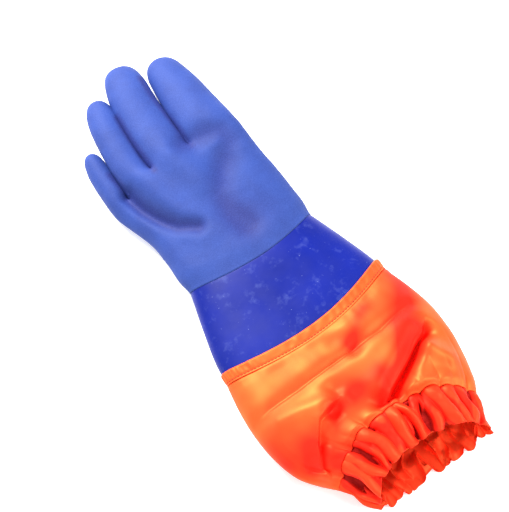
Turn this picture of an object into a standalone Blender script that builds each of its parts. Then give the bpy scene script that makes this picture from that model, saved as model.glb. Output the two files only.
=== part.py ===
"""A left-hand protective glove with a long cloth sleeve, lying palm down with its thumb folded under.

Every piece is an open hollow wall: the grained coat of the hand, the smooth gauntlet that it laps over,
and the sleeve with its sewn hem and its gathered elastic cuff. Metres, +Z up, +Y from the cuff's mouth to
the fingertips, +X towards the thumb's side. While it is built, the coat's edge lies at Y = 0.
"""

import functools
import math

import bmesh
import bpy
from mathutils import Vector

MM = 0.001

# Walls and clearances
PVC_WALL = 1.6 * MM
CLOTH_WALL = 1.2 * MM
HEM_WALL = 1.8 * MM
CUFF_WALL = 2.2 * MM
LAP_GAP = 0.5 * MM
LAP_TAPER = 2.0 * MM
SEAM_GAP = 0.4 * MM
FLOOR_SNAP = 1.5 * MM
PRESSED_FLAT = 2.5 * MM

# Hand
PALM_LENGTH = 117 * MM
PALM_WIDTH = 140 * MM
PALM_THICKNESS = 27 * MM
PALM_WAIST = 8.5 * MM
THUMB_ROOM = 25 * MM
PALM_LEFT_SHARE = 0.578
FINGER_LENGTH = 114 * MM
FINGER_WIDTH = 45 * MM
FINGER_HEIGHT = 28 * MM
THUMB_LENGTH = 82 * MM
THUMB_WIDTH = 28 * MM
THUMB_HEIGHT = 22 * MM

# Gauntlet
WRIST_WIDTH = 131 * MM
WRIST_HEIGHT = 38 * MM
WRIST_LEFT_SHARE = 0.525
GAUNTLET_LENGTH = 74 * MM
GAUNTLET_END_WIDTH = 173 * MM
GAUNTLET_END_HEIGHT = 40 * MM
END_LEFT_SHARE = 0.519
COAT_BOW = 14 * MM
HEM_BOW = 18.5 * MM
COAT_LAP = 6 * MM
SLEEVE_LAP = 24 * MM

# Sleeve and cuff
HEM_BAND = 11 * MM
HEM_SKEW = 4.5 * MM
SLEEVE_LENGTH = 138 * MM
SLEEVE_WIDTH = 198 * MM
SLEEVE_HEIGHT = 52 * MM
CUFF_LENGTH = 31 * MM
CUFF_SEAM_WIDTH = 148 * MM
CUFF_HEIGHT = 46 * MM
MOUTH_WIDTH = 122 * MM
MOUTH_HEIGHT = 38 * MM
SEAM_SETBACK = 29 * MM
MOUTH_SETBACK = 24.5 * MM
GATHER_COUNT = 28
GATHER_DEPTH = 3.2 * MM
PINCHED_GATHER = 0.40
CASING_BULGE = 4.0 * MM

# Mesh fineness, and how far a cage stands outside the rounded surface that it makes
COLUMNS = 20
UNDERSIDE_COLUMNS = range(10, 19)
RIM_ROUNDING = 1.018
FINGER_ROUNDING = 1.075
ARM_SEGMENTS = 2 * COLUMNS
SLEEVE_SEGMENTS = 48
SLEEVE_EVENNESS = 0.5
SLEEVE_ROWS = 12
CUFF_STEPS_PER_GATHER = 4
CUFF_ROWS = 5
NUDGE = 0.003

# A ring's outline: its sides' roundness, its crown and its flattened underside
SIDE_POWER = 0.85
CROWN_POWER = 1.05
UNDER_POWER = 0.80
SIDE_LEVEL = 0.4
SETBACK_POWER = 1.5
FOLD_POWER = 0.45

# name, length (share of FINGER_LENGTH), bend to the right (of PALM_WIDTH), width (of FINGER_WIDTH), share of
# the width lost towards the tip, height (of FINGER_HEIGHT), level of the tip (of FINGER_HEIGHT), and how late
# it droops
FINGERS = [
    ("pinky", 0.583, 0.035, 0.500, 0.0, 0.80, 0.40, 1.0),
    ("ring", 0.877, 0.105, 0.715, 0.0, 0.92, 0.46, 2.2),
    ("middle", 1.010, 0.115, 0.955, 0.0, 1.00, 0.46, 1.3),
    ("index", 0.895, 0.035, 1.130, 0.25, 0.98, 0.48, 1.3),
]

# along the finger, width, height (shares of the finger's own)
FINGER_RINGS = [
    (0.11, 1.00, 1.00),
    (0.36, 0.99, 0.98),
    (0.62, 0.97, 0.95),
    (0.85, 0.86, 0.85),
    (0.96, 0.55, 0.56),
]

# along the thumb, to the left and forward of its root (shares of THUMB_LENGTH), width, height (of its own)
THUMB_RINGS = [
    (0.18, 0.08, 0.13, 1.02, 1.02),
    (0.42, 0.18, 0.34, 1.00, 1.00),
    (0.66, 0.32, 0.53, 1.00, 0.98),
    (0.86, 0.47, 0.67, 0.88, 0.88),
    (0.96, 0.55, 0.73, 0.55, 0.58),
]
THUMB_LIES_FROM = 0.4
THUMB_TIP = 0.05

# The ring of the webs: name, across the palm (share of PALM_WIDTH), along (share of PALM_LENGTH), top and
# underside (shares of the height that PALM_THICKNESS and THUMB_ROOM reach together)
WEB_RING = [
    ("pinky side", 0.012, 0.84, 0.30, 0.08),
    ("pinky knuckle", 0.068, 0.885, 0.43, 0.02),
    ("pinky web", 0.142, 0.92, 0.44, 0.16),
    ("ring knuckle", 0.246, 0.975, 0.80, 0.26),
    ("ring web", 0.349, 0.955, 0.70, 0.33),
    ("middle knuckle", 0.496, 1.010, 0.95, 0.38),
    ("middle web", 0.646, 0.950, 0.73, 0.44),
    ("index knuckle", 0.820, 0.985, 0.93, 0.42),
    ("index side", 0.978, 0.950, 0.80, 0.48),
]

# The same ring's two edges: name, across, along, level
WEB_EDGES = [
    ("pinky edge", -0.012, 0.83, 0.20),
    ("index edge", 1.010, 0.935, 0.64),
]

# along the palm (share of the web's place), turn from wrist ring to web ring, waist, lift of the underside
PALM_RINGS = [
    (0.00, 0.00, 0.0, 0.00),
    (0.11, 0.00, 0.0, 0.00),
    (0.26, 0.18, 0.45, 0.22),
    (0.43, 0.40, 0.8, 0.66),
    (0.60, 0.62, 1.05, 0.92),
    (0.79, 0.84, 0.7, 1.00),
]

# name, depth (share of PALM_THICKNESS), width (of PALM_WIDTH), and the points of its line on the back of the
# hand: across (share of PALM_WIDTH from its left) and along (share of PALM_LENGTH)
DENTS = [
    ("knuckle valley", 0.15, 0.080, [(0.60, 0.98), (0.74, 0.96), (0.85, 0.90), (0.86, 0.80), (0.78, 0.71)]),
    ("thumb valley", 0.17, 0.090, [(0.78, 0.71), (0.68, 0.60), (0.60, 0.48), (0.59, 0.33), (0.62, 0.15)]),
    ("side groove", 0.24, 0.048, [(0.135, 0.92), (0.16, 0.76), (0.21, 0.60), (0.27, 0.46), (0.36, 0.36)]),
]

# name, across (share of half SLEEVE_WIDTH) and along (share of SLEEVE_LENGTH) at its start and at its end,
# depth (share of SLEEVE_HEIGHT, negative for a ridge), width (share of SLEEVE_WIDTH)
FOLDS = [
    ("long crease left", -0.93, 0.37, 0.10, 0.36, 0.06, 0.034),
    ("long crease right", 0.10, 0.36, 0.78, 0.30, 0.06, 0.034),
    ("deep fold", 0.72, 0.49, 0.04, 0.74, 0.20, 0.040),
    ("deep fold's crest", 0.66, 0.60, 0.20, 0.82, -0.12, 0.045),
    ("side fold", -0.26, 0.53, -0.62, 0.74, 0.17, 0.042),
    ("side crest", -0.48, 0.64, -0.70, 0.90, -0.12, 0.040),
    ("lobe", -0.80, 0.47, -0.24, 0.56, -0.10, 0.042),
    ("pocket", -0.12, 0.64, -0.06, 0.76, 0.14, 0.040),
    ("hem hollow", 0.04, 0.21, 0.10, 0.29, 0.08, 0.040),
    ("right puff", 0.60, 0.66, 0.68, 0.80, -0.12, 0.050),
    ("left tuck", -0.78, 0.80, -0.42, 0.94, 0.13, 0.038),
    ("cuff tuck", 0.20, 0.80, 0.27, 0.97, 0.12, 0.030),
]
FOLD_FADE = 0.08

BLUE_COAT = ((0.085, 0.190, 0.850, 1.0), 0.62)
BLUE_GAUNTLET = ((0.025, 0.050, 0.560, 1.0), 0.30)
ORANGE_NYLON = ((1.000, 0.105, 0.030, 1.0), 0.45)


def clear_scene():
    for obj in list(bpy.data.objects):
        bpy.data.objects.remove(obj, do_unlink=True)


def material(name, look):
    made = bpy.data.materials.new(name)
    made.use_nodes = True
    shader = made.node_tree.nodes["Principled BSDF"]
    shader.inputs["Base Color"].default_value = look[0]
    shader.inputs["Roughness"].default_value = look[1]
    shader.inputs["Metallic"].default_value = 0.0
    made.diffuse_color = look[0]
    return made


def mix(a, b, share):
    return a + (b - a) * share


def read_curve(rows, at):
    """The columns of a table at one place: a smooth curve through its rows, which run along the first column."""
    last = len(rows) - 1
    step = 0
    while step < last - 1 and at > rows[step + 1][0]:
        step += 1
    before, start, end, after = (rows[min(max(step + k, 0), last)] for k in (-1, 0, 1, 2))
    span = end[0] - start[0]
    share = min(max((at - start[0]) / span, 0.0), 1.0)
    values = []
    for column in range(1, len(start)):
        slope_in = (end[column] - before[column]) / (end[0] - before[0]) * span
        slope_out = (after[column] - start[column]) / (after[0] - start[0]) * span
        values.append(
            (2 * share**3 - 3 * share**2 + 1) * start[column]
            + (share**3 - 2 * share**2 + share) * slope_in
            + (3 * share**2 - 2 * share**3) * end[column]
            + (share**3 - share**2) * slope_out
        )
    return values


def ring_point(left, right, top, floor, angle):
    """(x, z) on a lying tube's outline at an angle from the right side, counter-clockwise."""
    side = SIDE_LEVEL * (top - floor) + floor
    across = math.cos(angle)
    upward = math.sin(angle)
    x = (right if across > 0 else -left) * abs(across) ** SIDE_POWER
    if upward > 0:
        return x, side + (top - side) * upward**CROWN_POWER
    return x, side - (side - floor) * abs(upward) ** UNDER_POWER


def gauntlet_outline(away):
    """Left, right, top and floor of the gauntlet's outer face at a distance from the coat's edge to the cuff."""
    rows = [
        (-COAT_LAP, *grown(wrist_outline(), -LAP_TAPER)),
        (0.0, *wrist_outline()),
        (0.5 * GAUNTLET_LENGTH, *halfway_outline()),
        (GAUNTLET_LENGTH, *end_outline()),
        (GAUNTLET_LENGTH + SLEEVE_LAP, *end_outline()),
    ]
    return read_curve(rows, away)


def wrist_outline():
    left = WRIST_LEFT_SHARE * WRIST_WIDTH
    return left, WRIST_WIDTH - left, WRIST_HEIGHT, LAP_GAP + PVC_WALL


def end_outline():
    left = END_LEFT_SHARE * GAUNTLET_END_WIDTH
    return left, GAUNTLET_END_WIDTH - left, GAUNTLET_END_HEIGHT, LAP_GAP + HEM_WALL


def halfway_outline():
    """Half way along, where the gauntlet is a little wider than a straight flare."""
    shares = (0.55, 0.55, 0.50, 0.50)
    return [mix(near, far, share) for near, far, share in zip(wrist_outline(), end_outline(), shares, strict=True)]


def grown(outline, by):
    left, right, top, floor = outline
    return left + by, right + by, top + by, floor - by


def sleeve_outline(away):
    """Left, right, top, floor and setback of the sleeve and cuff, at a distance from the hem's stitching."""
    hem = grown(gauntlet_outline(GAUNTLET_LENGTH + HEM_BAND), LAP_GAP + HEM_WALL)
    floor = -PRESSED_FLAT
    seam = SLEEVE_LENGTH
    mouth = SLEEVE_LENGTH + CUFF_LENGTH
    # distance, left, right, top, floor, setback
    rows = [
        (-HEM_BAND, hem[0], hem[1], hem[2], 0.0, 0.0),
        (0.0, hem[0], hem[1], hem[2], 0.0, 0.0),
        (0.32 * seam, 0.500 * SLEEVE_WIDTH, 0.485 * SLEEVE_WIDTH, 0.98 * SLEEVE_HEIGHT, floor, 0.05 * SEAM_SETBACK),
        (0.55 * seam, 0.498 * SLEEVE_WIDTH, 0.483 * SLEEVE_WIDTH, SLEEVE_HEIGHT, floor, 0.25 * SEAM_SETBACK),
        (0.76 * seam, 0.465 * SLEEVE_WIDTH, 0.464 * SLEEVE_WIDTH, 0.96 * SLEEVE_HEIGHT, floor, 0.60 * SEAM_SETBACK),
        (0.90 * seam, 0.404 * SLEEVE_WIDTH, 0.438 * SLEEVE_WIDTH, CUFF_HEIGHT, floor, 0.85 * SEAM_SETBACK),
        (seam, 0.460 * CUFF_SEAM_WIDTH, 0.540 * CUFF_SEAM_WIDTH, CUFF_HEIGHT, floor, SEAM_SETBACK),
        (mouth, 0.410 * MOUTH_WIDTH, 0.590 * MOUTH_WIDTH, MOUTH_HEIGHT, floor, MOUTH_SETBACK),
    ]
    return read_curve(rows, away)


def to_segment(point, start, end):
    """Distance from a point to a segment, seen from above."""
    along = (end[0] - start[0], end[1] - start[1])
    off = (point[0] - start[0], point[1] - start[1])
    share = (off[0] * along[0] + off[1] * along[1]) / (along[0] ** 2 + along[1] ** 2)
    share = min(max(share, 0.0), 1.0)
    return math.hypot(off[0] - share * along[0], off[1] - share * along[1])


def fold_drop(across, along):
    """How far the sleeve's crown sinks at a place across it and along it, both in metres."""
    drop = 0.0
    for _name, across_1, along_1, across_2, along_2, depth, width in FOLDS:
        start = (across_1 * SLEEVE_WIDTH / 2, along_1 * SLEEVE_LENGTH)
        end = (across_2 * SLEEVE_WIDTH / 2, along_2 * SLEEVE_LENGTH)
        off = to_segment((across, along), start, end) / (width * SLEEVE_WIDTH)
        drop += depth * SLEEVE_HEIGHT * math.exp(-off * off)
    return drop


def gather_wave(turn):
    """From -1 in a crevice to 1 on a crest, round the cuff: uneven gathers, closer together in some stretches."""
    angle = 2 * math.pi * turn
    uneven = turn + 0.006 * math.sin(3 * angle + 1.0) + 0.004 * math.sin(7 * angle + 2.0)
    return math.cos(2 * math.pi * GATHER_COUNT * uneven)


def crown_share(angle):
    return max(math.sin(angle), 0.0) ** SETBACK_POWER


def middle_share(angle):
    """1 in the middle of a flattened tube's top and underside, 0 at its two sides."""
    return 1 - abs(math.cos(angle)) ** (2 * SIDE_POWER)


def bow(away):
    """How far the middle of the gauntlet's ring lies nearer to the cuff than its sides, like a flattened cone's."""
    return mix(COAT_BOW, HEM_BOW, min(max(away / GAUNTLET_LENGTH, 0.0), 1.0))


def gauntlet_point(away, turn):
    left, right, top, floor = gauntlet_outline(away)
    angle = 2 * math.pi * turn
    x, z = ring_point(left, right, top, floor, angle)
    return Vector((x, -away - bow(away) * middle_share(angle), z))


def over_gauntlet(away, turn, wall):
    """On the outer face of a wall that laps over the gauntlet."""
    return gauntlet_point(away, turn) + (LAP_GAP + wall) * outward(gauntlet_point, away, turn)


def hem_skew(x):
    """The hem runs a little further towards the fingers on the thumb's side."""
    return HEM_SKEW * 2 * x / GAUNTLET_END_WIDTH


def hem_point(away, turn):
    point = over_gauntlet(GAUNTLET_LENGTH + away, turn, HEM_WALL)
    point.y += hem_skew(point.x)
    return point


def sleeve_ring_point(away, angle):
    """On the sleeve or cuff before folds and gathers, at a distance from the hem's stitching."""
    left, right, top, floor, setback = sleeve_outline(away)
    x, z = ring_point(left, right, top, floor, angle)
    hem_line = hem_skew(x) - HEM_BOW * middle_share(angle)
    ahead = setback * crown_share(angle) + hem_line * max(1 - away / SLEEVE_LENGTH, 0.0)
    return Vector((x, ahead - GAUNTLET_LENGTH - HEM_BAND - away, z))


@functools.cache
def cuff_lengths():
    """The length of the cuff's outline up to each of many even angles, at the middle of the casing."""
    angles = evenly(0.0, 2 * math.pi, 16 * GATHER_COUNT)
    points = [sleeve_ring_point(SLEEVE_LENGTH + CUFF_LENGTH / 2, angle) for angle in angles]
    reached = [0.0]
    for near, far in zip(points, points[1:], strict=False):
        reached.append(reached[-1] + (far - near).length)
    return angles, reached


def even_angle(turn):
    """The angle at a share of the way round the cuff, measured along its outline."""
    angles, reached = cuff_lengths()
    whole = math.floor(turn)
    wanted = (turn - whole) * reached[-1]
    step = 0
    while step < len(angles) - 2 and reached[step + 1] < wanted:
        step += 1
    share = (wanted - reached[step]) / (reached[step + 1] - reached[step])
    return 2 * math.pi * whole + mix(angles[step], angles[step + 1], share)


def sleeve_point(away, turn):
    return sleeve_ring_point(away, mix(2 * math.pi * turn, even_angle(turn), SLEEVE_EVENNESS))


def cuff_point(away, turn):
    return sleeve_ring_point(away, even_angle(turn))


def folded_sleeve_point(away, turn):
    point = sleeve_point(away, turn)
    angle = mix(2 * math.pi * turn, even_angle(turn), SLEEVE_EVENNESS)
    from_ends = min(away, SLEEVE_LENGTH - away) / (FOLD_FADE * SLEEVE_LENGTH)
    along = -point.y - GAUNTLET_LENGTH - HEM_BAND
    on_top = max(math.sin(angle), 0.0) ** FOLD_POWER
    point.z -= fold_drop(point.x, along) * on_top * min(max(from_ends, 0.0), 1.0)
    return point


def gathered_cuff_point(away, turn):
    share = (away - SLEEVE_LENGTH) / CUFF_LENGTH
    swell = math.sin(math.pi * min(max(share, 0.0), 1.0))
    lift = CASING_BULGE * swell + GATHER_DEPTH * gather_wave(turn) * mix(PINCHED_GATHER, 1.0, swell)
    return cuff_point(away, turn) + lift * outward(cuff_point, away, turn)


def outward(surface, away, turn):
    """The direction out of a tube's smooth ring at a share of the way round, square to its length."""
    ahead = surface(away, turn + NUDGE) - surface(away, turn - NUDGE)
    return Vector((ahead.z, 0.0, -ahead.x)).normalized()


def evenly(start, end, count):
    return [mix(start, end, step / count) for step in range(count + 1)]


def tube(name, surface, smooth, stations, segments, wall, look):
    """An open tube: outer rings on the surface, inner rings one wall inside them, closed at both rims."""
    work = bmesh.new()
    outer = []
    inner = []
    rows = len(stations) - 1
    for away in stations:
        outer_ring = []
        inner_ring = []
        for step in range(segments):
            turn = step / segments
            point = surface(away, turn)
            inside = point - wall * outward(smooth, away, turn)
            point.z = max(point.z, 0.0)
            inside.z = max(inside.z, wall)
            outer_ring.append(work.verts.new(point))
            inner_ring.append(work.verts.new(inside))
        outer.append(outer_ring)
        inner.append(inner_ring)
    for step in range(segments):
        follow = (step + 1) % segments
        for row in range(rows):
            work.faces.new((outer[row][step], outer[row][follow], outer[row + 1][follow], outer[row + 1][step]))
            work.faces.new((inner[row][step], inner[row + 1][step], inner[row + 1][follow], inner[row][follow]))
        work.faces.new((outer[0][step], inner[0][step], inner[0][follow], outer[0][follow]))
        work.faces.new((outer[-1][step], outer[-1][follow], inner[-1][follow], inner[-1][step]))
    bmesh.ops.recalc_face_normals(work, faces=work.faces)
    return finish(name, work, look)


def finish(name, work, look):
    mesh = bpy.data.meshes.new(name)
    work.to_mesh(mesh)
    work.free()
    obj = bpy.data.objects.new(name, mesh)
    bpy.context.scene.collection.objects.link(obj)
    mesh.materials.append(look)
    mesh.shade_smooth()
    return obj


def palm_x(share):
    return (share - PALM_LEFT_SHARE) * PALM_WIDTH


def web_points():
    """The ring where the fingers leave the palm: nine on the back, the index edge, nine below, the pinky edge."""
    height = PALM_THICKNESS + THUMB_ROOM
    back = [Vector((palm_x(x), along * PALM_LENGTH, top * height)) for _n, x, along, top, _u in WEB_RING]
    below = [
        Vector((palm_x(x), (along - 0.02) * PALM_LENGTH, under * height)) for _n, x, along, _t, under in WEB_RING
    ]
    edges = [Vector((palm_x(x), along * PALM_LENGTH, level * height)) for _n, x, along, level in WEB_EDGES]
    return back + [edges[1]] + below[::-1] + [edges[0]]


def wrist_points():
    """The coat's edge at the same twenty places, clockwise from the left when seen from the cuff."""
    points = []
    for step in range(COLUMNS):
        turn = 0.5 - (step + 1) / COLUMNS
        point = over_gauntlet(0.0, turn, PVC_WALL)
        points.append(Vector((RIM_ROUNDING * point.x, point.y, mix(WRIST_HEIGHT / 2, point.z, RIM_ROUNDING))))
    return points


def palm_cage(work):
    """Rings of the palm from the coat's edge to the webs."""
    wrist = wrist_points()
    web = web_points()
    rings = []
    for along, turn, waist, lift in PALM_RINGS:
        ring = []
        for column, (near, far) in enumerate(zip(wrist, web, strict=True)):
            height_turn = lift if column in UNDERSIDE_COLUMNS else turn
            point = Vector((mix(near.x, far.x, turn), mix(near.y, far.y, along), mix(near.z, far.z, height_turn)))
            point.x += waist * PALM_WAIST * max(-point.x / (PALM_LEFT_SHARE * PALM_WIDTH), 0.0) ** 2
            ring.append(work.verts.new(point))
        rings.append(ring)
    rings.append([work.verts.new(point) for point in web])
    return rings


def skin(work, near, far):
    """Quads between two rings of as many points."""
    count = len(near)
    for step in range(count):
        follow = (step + 1) % count
        work.faces.new((near[step], near[follow], far[follow], far[step]))


def close_tip(work, ring, tip):
    """Four quads from a ring of eight to the tip."""
    end = work.verts.new(tip)
    for step in range(0, 8, 2):
        work.faces.new((ring[step], ring[step + 1], ring[(step + 2) % 8], end))


def ring_of_eight(work, centre, forward, across, above, first_angle, turn):
    """Eight points round a centre, square to the way forward."""
    side = forward.cross(Vector((0, 0, 1))).normalized()
    up = side.cross(forward)
    ring = []
    for step in range(8):
        angle = math.radians(first_angle + turn * 45 * step)
        ring.append(
            work.verts.new(
                centre
                + side * (FINGER_ROUNDING * across / 2 * math.cos(angle))
                + up * (FINGER_ROUNDING * above / 2 * math.sin(angle))
            )
        )
    return ring


def finger(work, web_ring, number, row):
    """A tube from the finger's eight points of the web ring to its rounded tip."""
    _name, length, bend, width, taper, height, tip_level, droop = row
    back = web_ring[2 * number : 2 * number + 3]
    below = [web_ring[18 - 2 * number - k] for k in range(3)]
    left_side, right_side = web_middles(work, web_ring, number)
    base = [*back, right_side, *below[::-1], left_side]
    centre = sum((vert.co for vert in base), Vector()) / 8
    reach = length * FINGER_LENGTH
    level = tip_level * FINGER_HEIGHT

    def path(share):
        return Vector(
            (
                centre.x + bend * PALM_WIDTH * share**2,
                centre.y + reach * share,
                mix(centre.z, level, share**droop),
            )
        )

    ring = base
    for share, wide, high in FINGER_RINGS:
        forward = (path(share + NUDGE) - path(share - NUDGE)).normalized()
        across = wide * (1 - taper * share) * width * FINGER_WIDTH
        following = ring_of_eight(work, path(share), forward, across, high * height * FINGER_HEIGHT, 135, -1)
        skin(work, ring, following)
        ring = following
    close_tip(work, ring, path(1.0))


def web_middles(work, web_ring, number):
    """The middle points of a finger's two sides: shared with its neighbour, or the palm's own edge."""
    sides = []
    for side in (number, number + 1):
        if side == 0:
            sides.append(web_ring[-1])
        elif side == len(FINGERS):
            sides.append(web_ring[9])
        else:
            sides.append(shared_middle(work, web_ring, side))
    return sides


def shared_middle(work, web_ring, side):
    """The point inside a web, made once for the two fingers that share it."""
    above = web_ring[2 * side]
    under = web_ring[18 - 2 * side]
    for edge in above.link_edges:
        other = edge.other_vert(above)
        if other not in web_ring and under in [link.other_vert(other) for link in other.link_edges]:
            return other
    return work.verts.new(above.co.lerp(under.co, 0.5))


def thumb(work, rings):
    """A tube out of the palm's lower right corner that bends forward and inward beneath the palm."""
    rows = (2, 3, 4)
    top, corner, under = 9, 10, 11
    centre_vert = rings[3][corner]
    patch = [face for face in centre_vert.link_faces]
    bmesh.ops.delete(work, geom=patch, context="FACES_ONLY")
    loop = [rings[row][top] for row in rows]
    loop += [rings[4][corner], rings[4][under], rings[3][under], rings[2][under], rings[2][corner]]
    work.verts.remove(centre_vert)
    root = sum((vert.co for vert in loop), Vector()) / 8
    lying = 0.5 * THUMB_HEIGHT
    ring = loop
    before = root
    for share, left, ahead, wide, high in THUMB_RINGS:
        place = Vector((root.x - left * THUMB_LENGTH, root.y + ahead * THUMB_LENGTH, 0))
        place.z = mix(root.z, lying, min(share / THUMB_LIES_FROM, 1.0))
        forward = place - before
        forward.z *= 0.5
        following = ring_of_eight(
            work, place, forward.normalized(), wide * THUMB_WIDTH, high * THUMB_HEIGHT, -45, 1
        )
        skin(work, ring, following)
        ring = following
        before = place
    close_tip(work, ring, before + forward.normalized() * THUMB_TIP * THUMB_LENGTH)


def smoothed(work, levels):
    """The mesh after subdivision, as new vertices and faces."""
    mesh = bpy.data.meshes.new("cage")
    work.to_mesh(mesh)
    work.free()
    cage = bpy.data.objects.new("cage", mesh)
    bpy.context.scene.collection.objects.link(cage)
    round_off = cage.modifiers.new("round off", "SUBSURF")
    round_off.levels = levels
    round_off.render_levels = levels
    graph = bpy.context.evaluated_depsgraph_get()
    rounded = bmesh.new()
    rounded.from_mesh(cage.evaluated_get(graph).to_mesh())
    bpy.data.objects.remove(cage, do_unlink=True)
    return rounded


def press_dents(work):
    """Sinks the back of the hand along each dent's line, and flattens what would pass below the floor."""
    for vert in work.verts:
        facing_up = min(max(2 * vert.normal.z, 0.0), 1.0)
        sunk = 0.0
        for _name, depth, width, points in DENTS:
            line = [(palm_x(x), along * PALM_LENGTH) for x, along in points]
            off = min(to_segment(vert.co, a, b) for a, b in zip(line, line[1:], strict=False))
            off /= width * PALM_WIDTH
            sunk = max(sunk, depth * math.exp(-off * off))
        vert.co.z -= facing_up * sunk * PALM_THICKNESS
        if vert.co.z < FLOOR_SNAP:
            vert.co.z = 0.0


def hand(look):
    work = bmesh.new()
    rings = palm_cage(work)
    for near, far in zip(rings, rings[1:], strict=False):
        skin(work, near, far)
    for number, row in enumerate(FINGERS):
        finger(work, rings[-1], number, row)
    thumb(work, rings)
    bmesh.ops.recalc_face_normals(work, faces=work.faces)
    work = smoothed(work, 1)
    press_dents(work)
    obj = finish("hand", work, look)
    wall = obj.modifiers.new("wall", "SOLIDIFY")
    wall.thickness = PVC_WALL
    wall.offset = -1
    wall.use_rim = True
    return obj


def centre_on_floor(objects):
    """Moves all pieces together so that the middle of their box stands on the origin."""
    points = [vert.co for obj in objects for vert in obj.data.vertices]
    middle = Vector(
        (
            (min(p.x for p in points) + max(p.x for p in points)) / 2,
            (min(p.y for p in points) + max(p.y for p in points)) / 2,
            min(p.z for p in points),
        )
    )
    for obj in objects:
        for vert in obj.data.vertices:
            vert.co -= middle


def main():
    clear_scene()
    coat = material("grained blue pvc", BLUE_COAT)
    smooth_pvc = material("smooth blue pvc", BLUE_GAUNTLET)
    nylon = material("orange nylon", ORANGE_NYLON)
    seam = SLEEVE_LENGTH
    gauntlet_rows = [-COAT_LAP, *evenly(0.0, GAUNTLET_LENGTH, 4)]
    gauntlet_rows += [GAUNTLET_LENGTH + HEM_BAND, GAUNTLET_LENGTH + SLEEVE_LAP]
    hem_rows = evenly(0.0, HEM_BAND - SEAM_GAP, 2)
    sleeve_rows = evenly(0.0, seam - SEAM_GAP, SLEEVE_ROWS)
    cuff_rows = evenly(seam, seam + CUFF_LENGTH, CUFF_ROWS)
    cuff_segments = GATHER_COUNT * CUFF_STEPS_PER_GATHER
    pieces = [
        hand(coat),
        tube("gauntlet", gauntlet_point, gauntlet_point, gauntlet_rows, ARM_SEGMENTS, PVC_WALL, smooth_pvc),
        tube("sleeve_hem", hem_point, hem_point, hem_rows, ARM_SEGMENTS, HEM_WALL, nylon),
        tube("sleeve", folded_sleeve_point, sleeve_point, sleeve_rows, SLEEVE_SEGMENTS, CLOTH_WALL, nylon),
        tube("gathered_cuff", gathered_cuff_point, sleeve_point, cuff_rows, cuff_segments, CUFF_WALL, nylon),
    ]
    centre_on_floor(pieces)


main()
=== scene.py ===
"""The looks of a left-hand protective glove with a long cloth sleeve, lying palm down.

Each piece is remade from the same named sizes as its solid, in a finer mesh: the grained coat of the hand,
the smooth gauntlet, the sleeve's hem with its stitches, the folded sleeve and the gathered cuff. The pieces
are shaped with the coat's edge at Y = 0, and then moved to where the solids lie.
"""

import math

import bmesh
import bpy
import numpy as np
from mathutils import Matrix, Vector, noise


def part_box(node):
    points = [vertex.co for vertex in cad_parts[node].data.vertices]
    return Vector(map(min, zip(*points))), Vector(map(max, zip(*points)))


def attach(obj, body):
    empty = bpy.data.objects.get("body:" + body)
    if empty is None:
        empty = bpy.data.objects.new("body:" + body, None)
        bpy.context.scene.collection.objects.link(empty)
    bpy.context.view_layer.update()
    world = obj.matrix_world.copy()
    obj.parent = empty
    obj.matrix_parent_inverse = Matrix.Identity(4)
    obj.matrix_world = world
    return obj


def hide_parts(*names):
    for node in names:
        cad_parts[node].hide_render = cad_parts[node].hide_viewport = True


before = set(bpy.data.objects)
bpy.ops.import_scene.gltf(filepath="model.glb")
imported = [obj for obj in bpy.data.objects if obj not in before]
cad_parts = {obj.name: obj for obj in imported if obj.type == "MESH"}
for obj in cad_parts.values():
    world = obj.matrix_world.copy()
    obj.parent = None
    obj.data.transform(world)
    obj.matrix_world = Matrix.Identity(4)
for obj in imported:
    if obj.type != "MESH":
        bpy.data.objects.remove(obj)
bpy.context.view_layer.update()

MM = 0.001

# Walls and clearances
PVC_WALL = 1.6 * MM
CLOTH_WALL = 0.8 * MM
HEM_WALL = 1.8 * MM
LAP_GAP = 0.5 * MM
LAP_TAPER = 2.0 * MM
PRESSED_FLAT = 2.5 * MM

# Hand
PALM_LENGTH = 117 * MM
PALM_WIDTH = 140 * MM
PALM_THICKNESS = 27 * MM
PALM_WAIST = 8.5 * MM
THUMB_ROOM = 25 * MM
PALM_LEFT_SHARE = 0.578
FINGER_LENGTH = 114 * MM
FINGER_WIDTH = 45 * MM
FINGER_HEIGHT = 28 * MM
THUMB_LENGTH = 82 * MM
THUMB_WIDTH = 28 * MM
THUMB_HEIGHT = 22 * MM

# Gauntlet
WRIST_WIDTH = 131 * MM
WRIST_HEIGHT = 38 * MM
WRIST_LEFT_SHARE = 0.525
GAUNTLET_LENGTH = 74 * MM
GAUNTLET_END_WIDTH = 173 * MM
GAUNTLET_END_HEIGHT = 40 * MM
END_LEFT_SHARE = 0.519
COAT_BOW = 14 * MM
HEM_BOW = 18.5 * MM
COAT_LAP = 6 * MM
SLEEVE_LAP = 24 * MM

# Sleeve and cuff
HEM_BAND = 11 * MM
HEM_SKEW = 4.5 * MM
SLEEVE_LENGTH = 138 * MM
SLEEVE_WIDTH = 198 * MM
SLEEVE_HEIGHT = 52 * MM
CUFF_LENGTH = 31 * MM
CUFF_SEAM_WIDTH = 148 * MM
CUFF_HEIGHT = 46 * MM
MOUTH_WIDTH = 122 * MM
MOUTH_HEIGHT = 38 * MM
SEAM_SETBACK = 29 * MM
MOUTH_SETBACK = 24.5 * MM
GATHER_COUNT = 28
GATHER_DEPTH = 5.8 * MM
PINCHED_GATHER = 0.40
CASING_BULGE = 4.0 * MM
STITCH_SETBACK = 9.6 * MM
STITCH_LENGTH = 2.3 * MM
STITCH_PITCH = 3.3 * MM
STITCH_WIDTH = 0.55 * MM
SEAM_SCALLOP = 3.0 * MM

# Mesh fineness: segments round, rows along
HAND_LEVELS = 3
GAUNTLET_MESH = (240, 80)
HEM_MESH = (640, 20)
SLEEVE_MESH = (430, 112)
CUFF_MESH = (880, 44)

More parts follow.
